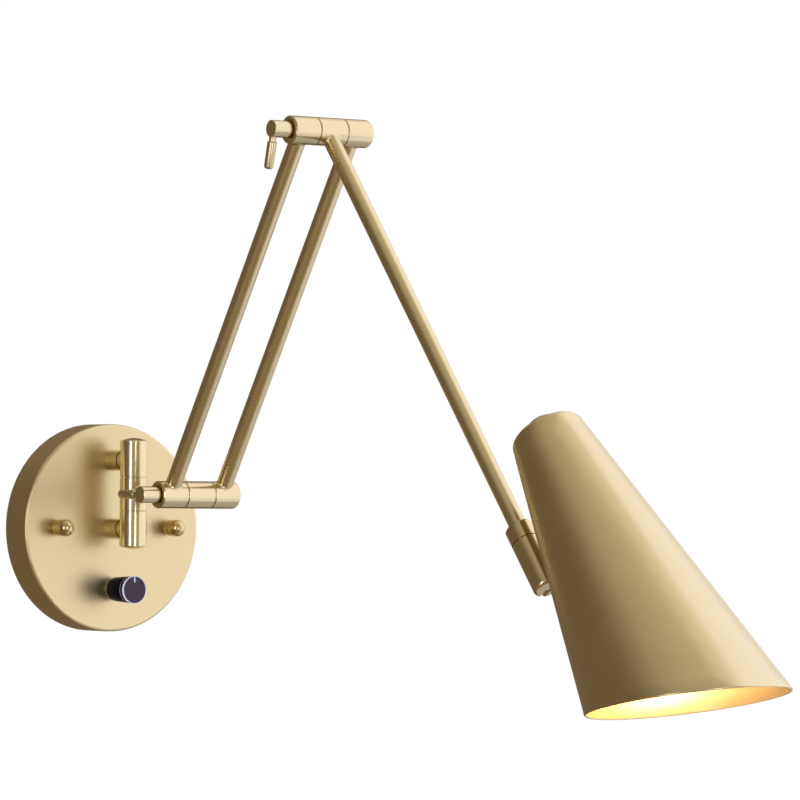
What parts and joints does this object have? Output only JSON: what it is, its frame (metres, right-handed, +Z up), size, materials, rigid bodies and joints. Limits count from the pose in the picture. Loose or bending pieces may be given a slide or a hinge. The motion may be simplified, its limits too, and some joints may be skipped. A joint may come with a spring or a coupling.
{
  "type": "folding swing-arm wall lamp",
  "caption": "Folding swing-arm wall lamp: round canopy with a dimmer knob, paired lower tubes and an upper tube on hinge barrels with clamp levers, and a tilting conical shade.",
  "frame": {"origin": "centre of the canopy's back, on the wall", "axes": "wall plane is y = 0 and the lamp stands out along -Y; +Z up; the hinge barrels lie along X"},
  "size_m": [0.12, 0.5872, 0.3184],
  "materials": {
    "gold_lacquer": "satin gold lacquer on steel",
    "gold_shade": "satin gold lacquer on spun aluminium",
    "satin_brass": "satin",
    "zinc_steel": "zinc plated",
    "pale_plastic": "matt",
    "dark_plastic": "matt",
    "black_gloss": "gloss",
    "grey_band": "gloss",
    "pale_ring": "gloss",
    "white_mark": "matt",
    "frosted_glass": "frosted"
  },
  "bodies": {
    "base": {"canopy_pan": "gold_lacquer", "wall_crossbar": "zinc_steel", "stud_screws": "zinc_steel", "cap_nuts": "satin_brass", "earth_screw": "satin_brass", "terminal_block": "pale_plastic", "dimmer_body": "dark_plastic", "dimmer_nut": "zinc_steel", "standoff_posts": "satin_brass", "post_nipples": "zinc_steel", "post_nuts": "zinc_steel", "low_knuckle": "satin_brass", "high_knuckle": "satin_brass", "pivot_rod": "zinc_steel", "barrel_caps": "satin_brass", "base_washers": "satin_brass"},
    "knob": {"dimmer_shaft": "zinc_steel", "dimmer_knob": "black_gloss", "knob_band": "grey_band", "knob_bezel": "pale_ring", "knob_pointer": "white_mark"},
    "swing": {"swivel_knuckle": "satin_brass", "swing_stub": "gold_lacquer", "lower_middle_knuckle": "satin_brass"},
    "lower_arm": {"lower_left_knuckle": "satin_brass", "lower_right_knuckle": "satin_brass", "lower_washers": "satin_brass", "lower_left_tube": "gold_lacquer", "lower_right_tube": "gold_lacquer", "elbow_left_knuckle": "satin_brass", "elbow_right_knuckle": "satin_brass", "elbow_washers": "satin_brass"},
    "lower_clamp": {"lower_clamp_pin": "satin_brass", "lower_clamp_lever": "satin_brass"},
    "elbow_clamp": {"elbow_clamp_pin": "satin_brass", "elbow_clamp_lever": "satin_brass"},
    "upper_arm": {"elbow_middle_knuckle": "satin_brass", "upper_tube": "gold_lacquer", "arm_collar": "satin_brass", "swivel_washer": "satin_brass"},
    "head": {"head_fork": "satin_brass", "swivel_bolt": "zinc_steel", "tilt_screw": "zinc_steel"},
    "shade": {"shade_tab": "satin_brass", "tab_rivets": "satin_brass", "shade": "gold_shade", "shade_top_cap": "satin_brass", "shade_nipple": "zinc_steel", "lamp_holder": "dark_plastic", "bulb_base": "zinc_steel", "bulb_glass": "frosted_glass"}
  },
  "joints": [
    {"name": "knob_turn", "type": "hinge", "parent": "base", "child": "knob", "pos_m": [0, -0.03, -0.0354], "axis": [0, -1, 0], "range_deg": [-140, 140]},
    {"name": "base_swing", "type": "hinge", "parent": "base", "child": "swing", "pos_m": [0, -0.0415, 0.01955], "axis": [0, 0, 1], "range_deg": [-60, 60]},
    {"name": "lower_hinge", "type": "hinge", "parent": "swing", "child": "lower_arm", "pos_m": [0, -0.1036, 0.01955], "axis": [1, 0, 0], "range_deg": [-40, 60]},
    {"name": "lower_clamp_turn", "type": "hinge", "parent": "lower_arm", "child": "lower_clamp", "pos_m": [0, -0.1036, 0.01955], "axis": [1, 0, 0], "range_deg": [-180, 15]},
    {"name": "elbow_hinge", "type": "hinge", "parent": "lower_arm", "child": "upper_arm", "pos_m": [0, -0.22621, 0.21885], "axis": [1, 0, 0], "range_deg": [-75, 35]},
    {"name": "elbow_clamp_turn", "type": "hinge", "parent": "lower_arm", "child": "elbow_clamp", "pos_m": [0, -0.22621, 0.21885], "axis": [1, 0, 0], "range_deg": [-180, 15]},
    {"name": "head_swivel", "type": "hinge", "parent": "upper_arm", "child": "head", "pos_m": [0, -0.40221, -0.00321], "axis": [0, -0.6211, -0.7837], "range_deg": [-150, 150]},
    {"name": "shade_tilt", "type": "hinge", "parent": "head", "child": "shade", "pos_m": [0, -0.41628, -0.02096], "axis": [1, 0, 0], "range_deg": [-18, 75]}
  ]
}
